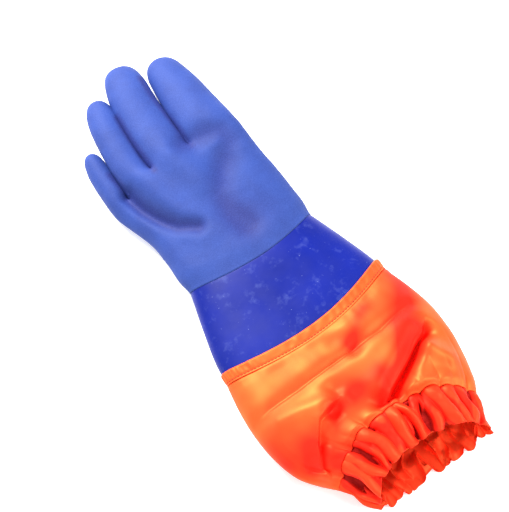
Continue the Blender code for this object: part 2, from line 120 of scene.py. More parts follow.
# The hand's rings: their points, which of them lie below, and how far the cage stands out of its shape
COLUMNS = 20
UNDERSIDE_COLUMNS = range(10, 19)
RIM_ROUNDING = 1.018
FINGER_ROUNDING = 1.075

# A flattened tube's outline: how round its sides, crown and underside are, and how high it is widest
SIDE_POWER = 0.85
CROWN_POWER = 1.05
UNDER_POWER = 0.80
SIDE_LEVEL = 0.4

# How setback and folds fade from the crown to the sides, and how evenly the sleeve's mesh is spread round it
SETBACK_POWER = 1.5
FOLD_POWER = 0.45
SLEEVE_EVENNESS = 0.5

# A small step round a ring or along a finger, to find its direction
NUDGE = 0.003

# name, length (share of FINGER_LENGTH), bend to the right (of PALM_WIDTH), width (of FINGER_WIDTH), share of
# the width lost towards the tip, height (of FINGER_HEIGHT), level of the tip (of FINGER_HEIGHT), and how late
# it droops. The middle and index fingers are a little wider than their solids, so that they touch.
FINGERS = [
    ("pinky", 0.583, 0.035, 0.500, 0.0, 0.80, 0.40, 1.0),
    ("ring", 0.877, 0.105, 0.715, 0.0, 0.92, 0.46, 2.2),
    ("middle", 1.010, 0.115, 1.000, 0.0, 1.00, 0.46, 1.3),
    ("index", 0.895, 0.035, 1.180, 0.25, 0.98, 0.48, 1.3),
]

# along the finger, width, height (shares of the finger's own)
FINGER_RINGS = [
    (0.11, 1.00, 1.00),
    (0.36, 0.99, 0.98),
    (0.62, 0.97, 0.95),
    (0.85, 0.86, 0.85),
    (0.96, 0.55, 0.56),
]

# along the thumb, to the left and forward of its root (shares of THUMB_LENGTH), width, height (of its own)
THUMB_RINGS = [
    (0.18, 0.08, 0.13, 1.02, 1.02),
    (0.42, 0.18, 0.34, 1.00, 1.00),
    (0.66, 0.32, 0.53, 1.00, 0.98),
    (0.86, 0.47, 0.67, 0.88, 0.88),
    (0.96, 0.55, 0.73, 0.55, 0.58),
]
THUMB_LIES_FROM = 0.4
THUMB_TIP = 0.05

# The ring of the webs: name, across the palm (share of PALM_WIDTH), along (share of PALM_LENGTH), top and
# underside (shares of the height that PALM_THICKNESS and THUMB_ROOM reach together)
WEB_RING = [
    ("pinky side", 0.012, 0.84, 0.30, 0.08),
    ("pinky knuckle", 0.068, 0.885, 0.43, 0.02),
    ("pinky web", 0.142, 0.92, 0.44, 0.16),
    ("ring knuckle", 0.246, 0.975, 0.80, 0.26),
    ("ring web", 0.349, 0.955, 0.70, 0.33),
    ("middle knuckle", 0.496, 1.010, 0.95, 0.38),
    ("middle web", 0.646, 0.950, 0.73, 0.44),
    ("index knuckle", 0.820, 0.985, 0.93, 0.42),
    ("index side", 0.978, 0.950, 0.80, 0.48),
]

# How much nearer to the wrist the webs lie on the underside (share of PALM_LENGTH)
WEB_SETBACK = 0.02

# The same ring's two edges: name, across, along, level
WEB_EDGES = [
    ("pinky edge", -0.012, 0.83, 0.20),
    ("index edge", 1.010, 0.935, 0.64),
]

# along the palm (share of the web's place), turn from wrist ring to web ring, waist, lift of the underside
PALM_RINGS = [
    (0.00, 0.00, 0.0, 0.00),
    (0.11, 0.00, 0.0, 0.00),
    (0.26, 0.18, 0.45, 0.22),
    (0.43, 0.40, 0.8, 0.66),
    (0.60, 0.62, 1.05, 0.92),
    (0.79, 0.84, 0.7, 1.00),
]

# name, depth (share of PALM_THICKNESS), width (of PALM_WIDTH), and the points of its line on the back of the
# hand: across (share of PALM_WIDTH from its left) and along (share of PALM_LENGTH)
DENTS = [
    ("knuckle valley", 0.15, 0.080, [(0.60, 0.98), (0.74, 0.96), (0.85, 0.90), (0.86, 0.80), (0.78, 0.71)]),
    ("thumb valley", 0.17, 0.090, [(0.78, 0.71), (0.68, 0.60), (0.60, 0.48), (0.59, 0.33), (0.62, 0.15)]),
    ("side groove", 0.24, 0.048, [(0.135, 0.92), (0.16, 0.76), (0.21, 0.60), (0.27, 0.46), (0.36, 0.36)]),
]

# The same columns, for painted shade along the grooves where two fingers touch: no depth but a strength
GROOVE_SHADES = [
    ("ring and middle", 0.24, 0.024, [(0.352, 0.93), (0.352, 1.10), (0.360, 1.30), (0.385, 1.52)]),
    ("middle and index", 0.24, 0.024,
     [(0.646, 0.94), (0.648, 1.10), (0.650, 1.30), (0.655, 1.50), (0.668, 1.70)]),
    ("middle web", 0.17, 0.034, [(0.622, 0.99), (0.628, 1.07)]),
    ("ring web", 0.13, 0.030, [(0.345, 0.97), (0.345, 1.03)]),
    ("pinky and ring", 0.22, 0.026, [(0.142, 0.90), (0.130, 1.02), (0.120, 1.16)]),
]

# name, across (share of half SLEEVE_WIDTH) and along (share of SLEEVE_LENGTH) at its start and at its end,
# depth (share of SLEEVE_HEIGHT, negative for a ridge), width (share of SLEEVE_WIDTH)
FOLDS = [
    ("long crease left", -0.93, 0.37, 0.10, 0.36, 0.06, 0.034),
    ("long crease right", 0.10, 0.36, 0.78, 0.30, 0.06, 0.034),
    ("deep fold", 0.72, 0.49, 0.04, 0.74, 0.18, 0.044),
    ("deep fold's crest", 0.66, 0.60, 0.20, 0.82, -0.12, 0.045),
    ("side fold", -0.26, 0.53, -0.62, 0.74, 0.12, 0.050),
    ("side crest", -0.48, 0.64, -0.70, 0.90, -0.12, 0.040),
    ("lobe", -0.80, 0.47, -0.24, 0.56, -0.10, 0.042),
    ("pocket", -0.12, 0.62, 0.02, 0.78, 0.07, 0.055),
    ("hem hollow", 0.04, 0.21, 0.16, 0.29, 0.06, 0.050),
    ("right puff", 0.66, 0.60, 0.78, 0.74, -0.15, 0.046),
    ("left tuck", -0.78, 0.80, -0.42, 0.94, 0.13, 0.038),
    ("cuff tuck", 0.20, 0.80, 0.27, 0.97, 0.12, 0.030),
]
FOLD_FADE = 0.08

# The same columns, for stretches of painted shade, where the orange satin is painted red as if it fell away
# from the light: no depth but a strength
SHADES = [
    ("right sweep", 0.98, 0.04, 0.52, 0.46, 0.25, 0.082),
    ("beside the overlap", 0.62, 0.52, 0.22, 0.70, 0.20, 0.055),
    ("middle blotch", 0.40, 0.16, 0.12, 0.30, 0.18, 0.036),
    ("low middle", 0.14, 0.56, -0.38, 0.60, 0.20, 0.058),
    ("low left", -0.98, 0.64, -0.40, 0.92, 0.22, 0.110),
]

# name, rise on the right of its line and how far that reaches, dip on the left and its reach (shares of
# SLEEVE_HEIGHT and SLEEVE_WIDTH), and the line's points: across (share of half SLEEVE_WIDTH) and along (share
# of SLEEVE_LENGTH)
CREASES = [
    ("overlap", 0.08, 0.11, 0.10, 0.09,
     [(0.82, 0.42), (0.70, 0.50), (0.42, 0.61), (0.16, 0.70), (0.02, 0.77)]),
    ("pressed", 0.02, 0.05, 0.03, 0.05,
     [(-0.97, 0.36), (-0.46, 0.37), (-0.05, 0.36), (0.41, 0.35), (0.80, 0.29)]),
    ("hook", 0.09, 0.05, 0.04, 0.05,
     [(-0.24, 0.56), (-0.52, 0.61), (-0.64, 0.72), (-0.71, 0.85), (-0.69, 0.97)]),
]
CREASE_STEP = 2.0 * MM

# The cloth's creases and folds are a little stronger here than in the solids
CREASE_STRENGTH = 1.35
FOLD_STRENGTH = 1.15

# How much painted shade turns the casing red on its crests, at the bottom of its crevices and inside
CREST_PAINTED_SHADE = 0.17
CREVICE_PAINTED_SHADE = 0.88
INSIDE_PAINTED_SHADE = 0.15

# How far the cuff's tucks reach into the sleeve, and the puff of loose cloth above the seam
TUCK_REACH = 18 * MM
PUFF = 3.5 * MM
PUFF_REACH = 30 * MM

# The sleeve's slow and small waves, its tucks beside the hem, and how far it sinks beneath the hem
SLEEVE_DRIFT = 2.0 * MM
SLEEVE_RIPPLE = 0.25 * MM
HEM_TUCK = 0.5 * MM
UNDER_HEM = 0.7 * MM

# Casing: how gathers lean, the share of its depth up to which the seam holds them, the seam's dip, the small
# waves, and the lip's scallops and drift
GATHER_LEAN = 0.0045
SEAM_HOLD = 0.25
SEAM_DIP = 0.8 * MM
CASING_RIPPLE = 0.25 * MM
LIP_SCALLOP = 4.0 * MM
LIP_DRIFT = 1.5 * MM

# Hem: how low it lies, how far its edge is thinned and over what distance, the dip along its stitches and how
# wide that is, its puckers, and how far it runs on beneath the sleeve
HEM_SINK = 0.3 * MM
HEM_EDGE = 1.1 * MM
HEM_EDGE_REACH = 1.2 * MM
STITCH_DIP = 0.5 * MM
STITCH_DIP_REACH = 0.9 * MM
PUCKER = 0.40 * MM
HEM_RUN_ON = 0.6 * MM

# Stitches: how far their ends and middle stand out (of half their width), and the lowest one that is made
STITCH_ARCH = (-0.2, 1.0, -0.2)
LOWEST_STITCH = 2 * MM

# The painted shade in the middle of the wrist: its place, its size and its strength
WRIST_SHADE_PLACE = (8 * MM, 22 * MM)
WRIST_SHADE_SIZE = (34 * MM, 26 * MM)
WRIST_SHADE = 0.11

# The coat's step at its edge, over what distances it thins out and its unevenness starts, its smallest share
# of its wall, and its slow and small waves
COAT_EDGE = 0.25 * MM
COAT_TAPER = 20 * MM
COAT_CALM = 12 * MM
THINNEST_COAT = 0.15
COAT_DRIFT = 0.45 * MM
COAT_RIPPLE = 0.12 * MM


def mix(a, b, share):
    return a + (b - a) * share


def ramp(value, start, end):
    """0 before start, 1 after end, smooth between."""
    share = np.clip((value - start) / (end - start), 0.0, 1.0)
    return share * share * (3 - 2 * share)


def read_curve(rows, at):
    """The columns of a table at many places: smooth curves through its rows, along the first column."""
    table = np.array(rows, float)
    last = len(table) - 1
    step = np.clip(np.searchsorted(table[:, 0], at) - 1, 0, last - 1)
    before, start, end, after = (table[np.clip(step + k, 0, last)] for k in (-1, 0, 1, 2))
    span = (end[..., 0] - start[..., 0])[..., None]
    share = np.clip((np.asarray(at)[..., None] - start[..., :1]) / span, 0.0, 1.0)
    slope_in = (end - before) / (end[..., :1] - before[..., :1]) * span
    slope_out = (after - start) / (after[..., :1] - start[..., :1]) * span
    values = (2 * share**3 - 3 * share**2 + 1) * start + (share**3 - 2 * share**2 + share) * slope_in
    values += (3 * share**2 - 2 * share**3) * end + (share**3 - share**2) * slope_out
    return np.moveaxis(values[..., 1:], -1, 0)


def ring_point(left, right, top, floor, angle):
    """(x, z) on a lying tube's outline at an angle from the right side, counter-clockwise."""
    side = SIDE_LEVEL * (top - floor) + floor
    across = np.cos(angle)
    upward = np.sin(angle)
    x = np.where(across > 0, right, -left) * np.abs(across) ** SIDE_POWER
    crown = side + (top - side) * np.abs(upward) ** CROWN_POWER
    under = side - (side - floor) * np.abs(upward) ** UNDER_POWER
    return x, np.where(upward > 0, crown, under)


def grown(outline, by):
    left, right, top, floor = outline
    return left + by, right + by, top + by, floor - by


def wrist_outline():
    left = WRIST_LEFT_SHARE * WRIST_WIDTH
    return left, WRIST_WIDTH - left, WRIST_HEIGHT, LAP_GAP + PVC_WALL


def end_outline():
    left = END_LEFT_SHARE * GAUNTLET_END_WIDTH
    return left, GAUNTLET_END_WIDTH - left, GAUNTLET_END_HEIGHT, LAP_GAP + HEM_WALL


def gauntlet_outline(away):
    """Left, right, top and floor of the gauntlet's outer face at a distance from the coat's edge."""
    shares = (0.55, 0.55, 0.50, 0.50)
    halfway = [mix(near, far, share) for near, far, share in zip(wrist_outline(), end_outline(), shares)]
    rows = [
        (-COAT_LAP, *grown(wrist_outline(), -LAP_TAPER)),
        (0.0, *wrist_outline()),
        (0.5 * GAUNTLET_LENGTH, *halfway),
        (GAUNTLET_LENGTH, *end_outline()),
        (GAUNTLET_LENGTH + SLEEVE_LAP, *end_outline()),
    ]
    return read_curve(rows, away)


def sleeve_outline(away):
    """Left, right, top, floor and setback of the sleeve and cuff, at a distance from the hem's stitching."""
    hem = grown(gauntlet_outline(np.array(GAUNTLET_LENGTH + HEM_BAND)), LAP_GAP + HEM_WALL)
    floor = -PRESSED_FLAT
    seam = SLEEVE_LENGTH
    mouth = SLEEVE_LENGTH + CUFF_LENGTH
    wide = SLEEVE_WIDTH
    high = SLEEVE_HEIGHT
    # distance, left, right, top, floor, setback
    rows = [
        (-HEM_BAND, hem[0], hem[1], hem[2], 0.0, 0.0),
        (0.0, hem[0], hem[1], hem[2], 0.0, 0.0),
        (0.32 * seam, 0.500 * wide, 0.485 * wide, 0.98 * high, floor, 0.05 * SEAM_SETBACK),
        (0.55 * seam, 0.498 * wide, 0.483 * wide, high, floor, 0.25 * SEAM_SETBACK),
        (0.76 * seam, 0.465 * wide, 0.464 * wide, 0.96 * high, floor, 0.60 * SEAM_SETBACK),
        (0.90 * seam, 0.404 * wide, 0.438 * wide, CUFF_HEIGHT, floor, 0.85 * SEAM_SETBACK),
        (seam, 0.460 * CUFF_SEAM_WIDTH, 0.540 * CUFF_SEAM_WIDTH, CUFF_HEIGHT, floor, SEAM_SETBACK),
        (mouth, 0.410 * MOUTH_WIDTH, 0.590 * MOUTH_WIDTH, MOUTH_HEIGHT, floor, MOUTH_SETBACK),
    ]
    return read_curve(rows, away)


def outward(surface, away, turn):
    """The direction out of a tube's smooth ring at a share of the way round, square to its length."""
    ahead = surface(away, turn + NUDGE) - surface(away, turn - NUDGE)
    facing = np.stack([ahead[..., 2], 0 * ahead[..., 0], -ahead[..., 0]], -1)
    return facing / np.linalg.norm(facing, axis=-1, keepdims=True)


def crown_share(angle):
    return np.maximum(np.sin(angle), 0.0) ** SETBACK_POWER


def middle_share(angle):
    """1 in the middle of a flattened tube's top and underside, 0 at its two sides."""
    return 1 - np.abs(np.cos(angle)) ** (2 * SIDE_POWER)


def bow(away):
    """How far the middle of the gauntlet's ring lies nearer to the cuff than its sides."""
    return mix(COAT_BOW, HEM_BOW, np.clip(away / GAUNTLET_LENGTH, 0.0, 1.0))


def gauntlet_point(away, turn):
    left, right, top, floor = gauntlet_outline(away)
    angle = 2 * math.pi * turn
    x, z = ring_point(left, right, top, floor, angle)
    return np.stack([x, -away - bow(away) * middle_share(angle), z], -1)


def over_gauntlet(away, turn, wall):
    """On the outer face of a wall that laps over the gauntlet."""
    return gauntlet_point(away, turn) + (LAP_GAP + wall) * outward(gauntlet_point, away, turn)


def hem_skew(x):
    """The hem runs a little further towards the fingers on the thumb's side."""
    return HEM_SKEW * 2 * x / GAUNTLET_END_WIDTH


def sleeve_ring_point(away, angle):
    """On the sleeve or cuff before folds and gathers, at a distance from the hem's stitching."""
    left, right, top, floor, setback = sleeve_outline(away)
    x, z = ring_point(left, right, top, floor, angle)
    hem_line = hem_skew(x) - HEM_BOW * middle_share(angle)
    ahead = setback * crown_share(angle) + hem_line * np.maximum(1 - away / SLEEVE_LENGTH, 0.0)
    return np.stack([x, ahead - GAUNTLET_LENGTH - HEM_BAND - away, z], -1)


def cuff_lengths():
    """The share of the cuff's outline up to each of many even angles, at the middle of the casing."""
    angles = np.linspace(0, 2 * math.pi, 2001)
    points = sleeve_ring_point(SLEEVE_LENGTH + CUFF_LENGTH / 2 + 0 * angles, angles)
    steps = np.linalg.norm(np.diff(points, axis=0), axis=-1)
    reached = np.concatenate([[0.0], np.cumsum(steps)])
    return angles, reached / reached[-1]


CUFF_ANGLES, CUFF_TURNS = cuff_lengths()


def even_angle(turn):
    """The angle at a share of the way round the cuff, measured along its outline."""
    whole = np.floor(turn)
    return 2 * math.pi * whole + np.interp(turn - whole, CUFF_TURNS, CUFF_ANGLES)


def sleeve_angle(turn):
    return mix(2 * math.pi * turn, even_angle(turn), SLEEVE_EVENNESS)


def sleeve_point(away, turn):
    return sleeve_ring_point(away, sleeve_angle(turn))


def cuff_point(away, turn):
    return sleeve_ring_point(away, even_angle(turn))


def to_segment(x, y, start, end):
    """Distance from points to a segment, seen from above."""
    along = (end[0] - start[0], end[1] - start[1])
    off_x = x - start[0]
    off_y = y - start[1]
    share = (off_x * along[0] + off_y * along[1]) / (along[0] ** 2 + along[1] ** 2)
    share = np.clip(share, 0.0, 1.0)
    return np.hypot(off_x - share * along[0], off_y - share * along[1])


def fold_share(rows, across, along):
    """The summed depth of a table's runs at places across the sleeve and along it, in metres."""
    total = np.zeros_like(across)
    for _name, across_1, along_1, across_2, along_2, depth, width in rows:
        start = (across_1 * SLEEVE_WIDTH / 2, along_1 * SLEEVE_LENGTH)
        end = (across_2 * SLEEVE_WIDTH / 2, along_2 * SLEEVE_LENGTH)
        off = to_segment(across, along, start, end) / (width * SLEEVE_WIDTH)
        total += depth * np.exp(-off * off)
    return total


def waves(points, size, seed=0.0):
    """Smooth noise from -1 to 1 at each point, with features of one size."""
    flat = np.asarray(points).reshape(-1, 3) / size + seed
    values = [noise.noise(Vector(point)) for point in flat]
    return 2 * np.array(values).reshape(np.shape(points)[:-1])


# Where the shapes' own frame lies among the solids
GAUNTLET_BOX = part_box("gauntlet")
HOME = Vector((GAUNTLET_BOX[0].x + END_LEFT_SHARE * GAUNTLET_END_WIDTH, GAUNTLET_BOX[1].y - COAT_LAP, 0.0))


def place_piece(name, mesh, look, node):
    """Moves a shaped mesh to its place and puts it in a solid's stead."""
    mesh.transform(Matrix.Translation(HOME))
    mesh.materials.clear()
    mesh.materials.append(look)
    mesh.shade_smooth()
    piece = bpy.data.objects.new(name, mesh)
    bpy.context.scene.collection.objects.link(piece)
    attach(piece, "root")
    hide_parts(node)
    return piece


def store(mesh, label, values):
    layer = mesh.attributes.new(label, "FLOAT", "POINT")
    layer.data.foreach_set("value", np.ascontiguousarray(values, np.float32).reshape(-1))


def tube_mesh(name, outer, outs, wall):
    """An open tube of cloth or PVC from its outer grid (rows along, steps round), closed at both rims."""
    inner = outer - wall * outs
    outer[..., 2] = np.maximum(outer[..., 2], 0.0)
    inner[..., 2] = np.maximum(inner[..., 2], wall)
    rows, segments = outer.shape[:2]
    index = np.arange(rows * segments).reshape(rows, segments)
    follow = np.roll(index, -1, axis=1)
    shift = rows * segments
    faces = [
        np.stack([index[:-1], follow[:-1], follow[1:], index[1:]], -1),
        np.stack([index[:-1], index[1:], follow[1:], follow[:-1]], -1) + shift,
        np.stack([index[:1], index[:1] + shift, follow[:1] + shift, follow[:1]], -1),
        np.stack([index[-1:], follow[-1:], follow[-1:] + shift, index[-1:] + shift], -1),
    ]
    faces = np.concatenate([part.reshape(-1, 4) for part in faces])
    points = np.concatenate([outer.reshape(-1, 3), inner.reshape(-1, 3)])
    mesh = bpy.data.meshes.new(name)
    mesh.from_pydata(points.tolist(), [], faces.tolist())
    return mesh


def tube_places(mesh_size, start, end):
    """Two grids, of the distance along a tube and of the share of the way round it."""
    segments, rows = mesh_size
    away = np.linspace(start, end, rows + 1)[:, None]
    turn = np.linspace(0, 1, segments, endpoint=False)[None, :]
    return away + 0 * turn, turn + 0 * away


def on_top(angle):
    """1 on the crown, falling to 0 at the sides and below."""
    return np.maximum(np.sin(angle), 0.0) ** FOLD_POWER


# Hand


def palm_x(share):
    return (share - PALM_LEFT_SHARE) * PALM_WIDTH


def web_points():
    """The ring where the fingers leave the palm: the back, the index edge, the underside, the pinky edge."""

    def point(x, along, level):
        return Vector((palm_x(x), along * PALM_LENGTH, level * (PALM_THICKNESS + THUMB_ROOM)))

    back = [point(x, along, top) for _name, x, along, top, _under in WEB_RING]
    below = [point(x, along - WEB_SETBACK, under) for _name, x, along, _top, under in WEB_RING]
    pinky_edge, index_edge = (point(x, along, level) for _name, x, along, level in WEB_EDGES)
    return [*back, index_edge, *below[::-1], pinky_edge]


def wrist_points():
    """The coat's edge at the same twenty places, clockwise from the left when seen from the cuff."""
    points = []
    for step in range(COLUMNS):
        turn = 0.5 - (step + 1) / COLUMNS
        x, y, z = (float(value) for value in over_gauntlet(np.array(0.0), np.array(turn), PVC_WALL))
        points.append(Vector((RIM_ROUNDING * x, y, mix(WRIST_HEIGHT / 2, z, RIM_ROUNDING))))
    return points


def palm_cage(work):
    """Rings of the palm from the coat's edge to the webs."""
    wrist = wrist_points()
    web = web_points()
    rings = []
    for along, turn, waist, lift in PALM_RINGS:
        ring = []
        for column, (near, far) in enumerate(zip(wrist, web, strict=True)):
            height_turn = lift if column in UNDERSIDE_COLUMNS else turn
            shares = (turn, along, height_turn)
            point = Vector([mix(start, end, share) for start, end, share in zip(near, far, shares)])
            point.x += waist * PALM_WAIST * max(-point.x / (PALM_LEFT_SHARE * PALM_WIDTH), 0.0) ** 2
            ring.append(work.verts.new(point))
        rings.append(ring)
    rings.append([work.verts.new(point) for point in web])
    return rings


def skin(work, near, far):
    """Quads between two rings of as many points."""
    count = len(near)
    for step in range(count):
        follow = (step + 1) % count
        work.faces.new((near[step], near[follow], far[follow], far[step]))


def close_tip(work, ring, tip):
    """Four quads from a ring of eight to the tip."""
    end = work.verts.new(tip)
    for step in range(0, 8, 2):
        work.faces.new((ring[step], ring[step + 1], ring[(step + 2) % 8], end))


def ring_of_eight(work, centre, forward, across, above, first_angle, turn):
    """Eight points round a centre, square to the way forward."""
    side = forward.cross(Vector((0, 0, 1))).normalized()
    up = side.cross(forward)
    ring = []
    for step in range(8):
        angle = math.radians(first_angle + turn * 45 * step)
        sideways = side * (FINGER_ROUNDING * across / 2 * math.cos(angle))
        upwards = up * (FINGER_ROUNDING * above / 2 * math.sin(angle))
        ring.append(work.verts.new(centre + sideways + upwards))
    return ring


def finger(work, web_ring, number, row):
    """A tube from the finger's eight points of the web ring to its rounded tip."""
    _name, length, bend, width, taper, height, tip_level, droop = row
    back = web_ring[2 * number : 2 * number + 3]
    below = [web_ring[18 - 2 * number - k] for k in range(3)]
    left_side, right_side = web_middles(work, web_ring, number)
    base = [*back, right_side, *below[::-1], left_side]
    centre = sum((vert.co for vert in base), Vector()) / 8
    reach = length * FINGER_LENGTH
    level = tip_level * FINGER_HEIGHT

    def path(share):
        x = centre.x + bend * PALM_WIDTH * share**2
        return Vector((x, centre.y + reach * share, mix(centre.z, level, share**droop)))

    ring = base
    for share, wide, high in FINGER_RINGS:
        forward = (path(share + NUDGE) - path(share - NUDGE)).normalized()
        across = wide * (1 - taper * share) * width * FINGER_WIDTH
        following = ring_of_eight(work, path(share), forward, across, high * height * FINGER_HEIGHT, 135, -1)
        skin(work, ring, following)
        ring = following
    close_tip(work, ring, path(1.0))


def web_middles(work, web_ring, number):
    """The middle points of a finger's two sides: shared with its neighbour, or the palm's own edge."""
    sides = []
    for side in (number, number + 1):
        if side == 0:
            sides.append(web_ring[-1])
        elif side == len(FINGERS):
            sides.append(web_ring[9])
        else:
            sides.append(shared_middle(work, web_ring, side))
    return sides


def shared_middle(work, web_ring, side):
    """The point inside a web, made once for the two fingers that share it."""
    above = web_ring[2 * side]
    under = web_ring[18 - 2 * side]
    for edge in above.link_edges:
        other = edge.other_vert(above)
        if other not in web_ring and under in [link.other_vert(other) for link in other.link_edges]:
            return other
    return work.verts.new(above.co.lerp(under.co, 0.5))


def thumb(work, rings):
    """A tube out of the palm's lower right corner that bends forward and inward beneath the palm."""
    top, corner, under = 9, 10, 11
    centre_vert = rings[3][corner]
    bmesh.ops.delete(work, geom=list(centre_vert.link_faces), context="FACES_ONLY")
    loop = [rings[row][top] for row in (2, 3, 4)]
    loop += [rings[4][corner], rings[4][under], rings[3][under], rings[2][under], rings[2][corner]]
    work.verts.remove(centre_vert)
    root = sum((vert.co for vert in loop), Vector()) / 8
    lying = 0.5 * THUMB_HEIGHT
    ring = loop
    before = root
    for share, left, ahead, wide, high in THUMB_RINGS:
        place = Vector((root.x - left * THUMB_LENGTH, root.y + ahead * THUMB_LENGTH, 0))
        place.z = mix(root.z, lying, min(share / THUMB_LIES_FROM, 1.0))
        forward = place - before
        forward.z *= 0.5
        size = (wide * THUMB_WIDTH, high * THUMB_HEIGHT)
        following = ring_of_eight(work, place, forward.normalized(), *size, -45, 1)
        skin(work, ring, following)
        ring = following
        before = place
    close_tip(work, ring, before + forward.normalized() * THUMB_TIP * THUMB_LENGTH)


def hand_mesh():
    """The cage of the hand after subdivision."""
    work = bmesh.new()
    rings = palm_cage(work)
    for near, far in zip(rings, rings[1:]):
        skin(work, near, far)
    for number, row in enumerate(FINGERS):
        finger(work, rings[-1], number, row)
    thumb(work, rings)
    bmesh.ops.recalc_face_normals(work, faces=work.faces)
    mesh = bpy.data.meshes.new("cage")
    work.to_mesh(mesh)
    work.free()
    cage = bpy.data.objects.new("cage", mesh)
    bpy.context.scene.collection.objects.link(cage)
    cage.modifiers.new("round off", "SUBSURF").levels = HAND_LEVELS
    graph = bpy.context.evaluated_depsgraph_get()
    rounded = bpy.data.meshes.new_from_object(cage.evaluated_get(graph))
    bpy.data.objects.remove(cage, do_unlink=True)
    return rounded


def vert_arrays(mesh):
    """Places and normals of a mesh's vertices."""
    places = np.zeros(3 * len(mesh.vertices))
    normals = np.zeros(3 * len(mesh.vertices))
    mesh.vertices.foreach_get("co", places)
    mesh.vertices.foreach_get("normal", normals)
    return places.reshape(-1, 3), normals.reshape(-1, 3)


def coat_edge_distance(places):
    """How far points of the coat lie from its edge, towards the fingers."""
    side = WRIST_WIDTH / 2
    return places[:, 1] + COAT_BOW * (1 - np.clip(np.abs(places[:, 0]) / side, 0, 1) ** 2)


def walled(mesh, wall, shares):
    """A sheet with a wall inwards, thinned by a share at each point, and flat where it rests."""
    sheet = bpy.data.objects.new("sheet", mesh)
    bpy.context.scene.collection.objects.link(sheet)
    group = sheet.vertex_groups.new(name="wall")
    for index, share in enumerate(shares):
        group.add([index], float(share), "REPLACE")
    solidify = sheet.modifiers.new("wall", "SOLIDIFY")
    solidify.thickness = wall
    solidify.offset = -1
    solidify.vertex_group = "wall"
    graph = bpy.context.evaluated_depsgraph_get()
    whole = bpy.data.meshes.new_from_object(sheet.evaluated_get(graph))
    bpy.data.objects.remove(sheet, do_unlink=True)
    for vert in whole.vertices:
        vert.co.z = max(vert.co.z, 0.0)
    return whole


def lines_share(rows, places):
    """The largest depth that a table's lines have at each place on the hand, seen from above."""
    share = np.zeros(len(places))
    for _name, depth, width, points in rows:
        line = [(palm_x(x), along * PALM_LENGTH) for x, along in points]
        off = np.min([to_segment(places[:, 0], places[:, 1], a, b) for a, b in zip(line, line[1:])], axis=0)
        share = np.maximum(share, depth * np.exp(-((off / (width * PALM_WIDTH)) ** 2)))
    return share


def make_hand(look):
    """The coated hand, with its dents, its thin edge at the wrist, and painted shade in the dents, between
    its fingers and in the middle of the wrist.
    """
    mesh = hand_mesh()
    places, normals = vert_arrays(mesh)
    facing_up = np.clip(2 * normals[:, 2], 0, 1)
    hollow = lines_share(DENTS, places)
    # Painted shade only, with no depth: darker along the grooves between the fingers, fading on faces turned
    # downward
    groove = lines_share(GROOVE_SHADES, places) * np.clip(2 * normals[:, 2] + 0.5, 0, 1)
    places[:, 2] -= facing_up * hollow * PALM_THICKNESS
    to_edge = coat_edge_distance(places)
    ripple = COAT_DRIFT * waves(places, 30 * MM) + COAT_RIPPLE * waves(places, 9 * MM, 3.0)
    tapered = (PVC_WALL + LAP_GAP - COAT_EDGE) * (1 - ramp(to_edge, 0.0, COAT_TAPER))
    places += normals * (ripple * ramp(to_edge, 0.0, COAT_CALM) - tapered)[:, None]
    mesh.vertices.foreach_set("co", places.reshape(-1))
    mesh.update()
    off_wrist = np.linalg.norm((places[:, :2] - WRIST_SHADE_PLACE) / WRIST_SHADE_SIZE, axis=-1)
    # The attribute "hollow" is painted shade: darker in the dents where they face up, along the grooves
    # between the fingers and in the middle of the wrist
    store(mesh, "hollow", np.maximum(facing_up * hollow + WRIST_SHADE * np.exp(-off_wrist**2), groove))
    shell = walled(mesh, PVC_WALL, np.maximum(1 - tapered / PVC_WALL, THINNEST_COAT))
    return place_piece("coated_hand", shell, look, "hand")


# Gauntlet, hem, sleeve and cuff


def make_gauntlet(look):
    """The smooth tube that the coat and the sleeve lap over."""
    away, angle = tube_places(GAUNTLET_MESH, -COAT_LAP, GAUNTLET_LENGTH + SLEEVE_LAP)
    points = gauntlet_point(away, angle)
    outs = outward(gauntlet_point, away, angle)
    mesh = tube_mesh("smooth_gauntlet", points, outs, PVC_WALL)
    return place_piece("smooth_gauntlet", mesh, look, "gauntlet")


def hem_surface(away, turn):
    """The hem's outer face and its direction out: a thin edge, puckers, and a line pulled in by stitches."""
    outs = outward(gauntlet_point, GAUNTLET_LENGTH + away, turn)
    points = over_gauntlet(GAUNTLET_LENGTH + away, turn, HEM_WALL)
    points[..., 1] += hem_skew(points[..., 0])
    thin_edge = -HEM_EDGE * (1 - ramp(away, 0.0, HEM_EDGE_REACH)) - HEM_SINK
    stitched_in = -STITCH_DIP * np.exp(-(((away - STITCH_SETBACK) / STITCH_DIP_REACH) ** 2))
    ripple = 0.6 * np.sin(330 * turn + 3 * np.sin(30 * turn)) + waves(points * (1, 0.4, 1), 7 * MM)
    pucker = PUCKER * np.sin(math.pi * np.clip(away / STITCH_SETBACK, 0.15, 1)) * ripple
    return points + (thin_edge + stitched_in + pucker)[..., None] * outs, outs


def make_hem(look):
    """The puckered band along which the sleeve is sewn onto the gauntlet."""
    away, turn = tube_places(HEM_MESH, 0.0, HEM_BAND + HEM_RUN_ON)
    points, outs = hem_surface(away, turn)
    mesh = tube_mesh("stitched_hem", points, outs, HEM_WALL - HEM_EDGE - HEM_SINK)
    return place_piece("stitched_hem", mesh, look, "sleeve_hem")


